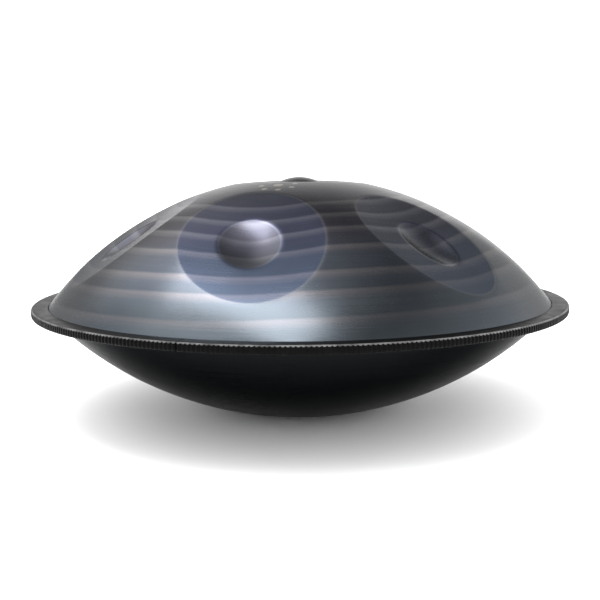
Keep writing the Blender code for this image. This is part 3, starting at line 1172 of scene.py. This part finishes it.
def make_world(settings):
    """A studio that is dark overhead, greyer towards the horizon and white behind."""
    world = bpy.data.worlds.new("studio")
    world.use_nodes = True
    maker = NodeMaker(world.node_tree)
    way = maker.add("ShaderNodeTexCoord").outputs["Generated"]
    x, y, z = maker.add("ShaderNodeSeparateXYZ", {0: way}).outputs[:3]

    def step(axis, low, high, strength=1.0):
        return soft_step(maker, axis, low, high, strength)

    horizon = masked(maker, step(z, 0.70, 0.28, settings.horizon), step(y, -0.5, 0.3))
    left = masked(maker, step(x, -0.25, -0.65, settings.left_glow), step(z, 0.4, 0.78))
    right = masked(maker, step(x, 0.30, 0.50, settings.right_glow), step(z, 0.88, 0.65))
    halo = glow_towards(maker, way, *HALO, settings.halo)
    behind_left = glow_towards(maker, way, *BACK_GLOW, settings.back_glow)
    sides = step(x, 0.40, 0.30), step(x, -0.36, -0.24)
    paper = masked(maker, step(z, 0.80, 0.24, settings.backdrop), *sides, step(y, -0.1, 0.1))
    low_paper = masked(maker, step(z, 0.24, 0.10, settings.backdrop), step(y, 0.2, 0.0))
    total = settings.ambient
    for part in (horizon, left, right, halo, behind_left, paper, low_paper):
        total = maker.math("ADD", total, part)
    background = world.node_tree.nodes["Background"]
    background.inputs["Color"].default_value = (1.0, 1.0, 1.0, 1.0)
    maker.feed(background.inputs["Strength"], total)
    bpy.context.scene.world = world


def make_strip_light(settings):
    width, length = STRIP_SIZE
    power = settings.strip_light * math.pi * width * length
    strip = add_light("strip_light", "AREA", STRIP_PLACE, STRIP_TARGET, power)
    strip.data.shape = "RECTANGLE"
    strip.data.size = width
    strip.data.size_y = length
    strip.rotation_quaternion = lay_along(STRIP_TARGET - STRIP_PLACE, STRIP_WAY)


def make_stage(settings):
    make_camera(settings)
    make_floor(settings)
    make_world(settings)
    make_strip_light(settings)
    for name, place, degrees, share in FLOOR_LIGHTS:
        wide = add_light(name, "SUN", place, (0.0, 0.0, 0.0), settings.floor_light * share)
        wide.data.angle = math.radians(degrees)
        wide.visible_glossy = False
    bpy.context.scene.view_settings.view_transform = "Standard"


# The add-on's operators and panel


class HANDPAN_OT_upper_bowl(bpy.types.Operator):
    """Make the upper bowl with its notes"""

    bl_idname = "handpan.upper_bowl"
    bl_label = "Upper bowl"

    def execute(self, context):
        make_upper_bowl(context.scene.handpan_bowls)
        return {"FINISHED"}


class HANDPAN_OT_lower_bowl(bpy.types.Operator):
    """Make the lower bowl with its port"""

    bl_idname = "handpan.lower_bowl"
    bl_label = "Lower bowl"

    def execute(self, context):
        make_lower_bowl(context.scene.handpan_bowls)
        return {"FINISHED"}


class HANDPAN_OT_edge_trim(bpy.types.Operator):
    """Make the ribbed rubber edge trim"""

    bl_idname = "handpan.edge_trim"
    bl_label = "Edge trim"

    def execute(self, context):
        make_edge_trim(context.scene.handpan_trim)
        return {"FINISHED"}


class HANDPAN_OT_inner_pieces(bpy.types.Operator):
    """Finish the adhesive ring and the trim's steel core"""

    bl_idname = "handpan.inner_pieces"
    bl_label = "Adhesive and core"

    def execute(self, context):
        repaint("rim_adhesive", cured_adhesive())
        repaint("trim_core", zinc_strip())
        return {"FINISHED"}


class HANDPAN_OT_stage(bpy.types.Operator):
    """Make the camera, the floor and the lights"""

    bl_idname = "handpan.stage"
    bl_label = "Stage"

    def execute(self, context):
        make_stage(context.scene.handpan_stage)
        return {"FINISHED"}


class HANDPAN_PT_panel(bpy.types.Panel):
    """Lists the handpan's pieces and their settings."""

    bl_label = "Handpan"
    bl_idname = "HANDPAN_PT_panel"
    bl_space_type = "VIEW_3D"
    bl_region_type = "UI"
    bl_category = "Handpan"

    def draw(self, context):
        layout = self.layout
        for operator in OPERATORS:
            layout.operator(operator.bl_idname)
        for name in SETTINGS:
            group = getattr(context.scene, name)
            box = layout.box()
            for key in group.__annotations__:
                box.prop(group, key)


OPERATORS = (
    HANDPAN_OT_upper_bowl,
    HANDPAN_OT_lower_bowl,
    HANDPAN_OT_edge_trim,
    HANDPAN_OT_inner_pieces,
    HANDPAN_OT_stage,
)
SETTINGS = {
    "handpan_bowls": BowlSettings,
    "handpan_trim": TrimSettings,
    "handpan_stage": StageSettings,
}
CLASSES = (*SETTINGS.values(), *OPERATORS, HANDPAN_PT_panel)


def register():
    for item in CLASSES:
        bpy.utils.register_class(item)
    for name, group in SETTINGS.items():
        setattr(bpy.types.Scene, name, bpy.props.PointerProperty(type=group))


def unregister():
    for name in SETTINGS:
        delattr(bpy.types.Scene, name)
    for item in reversed(CLASSES):
        bpy.utils.unregister_class(item)


def main():
    register()
    bpy.ops.handpan.stage()
    bpy.ops.handpan.upper_bowl()
    bpy.ops.handpan.lower_bowl()
    bpy.ops.handpan.edge_trim()
    bpy.ops.handpan.inner_pieces()


if __name__ == "__main__":
    main()
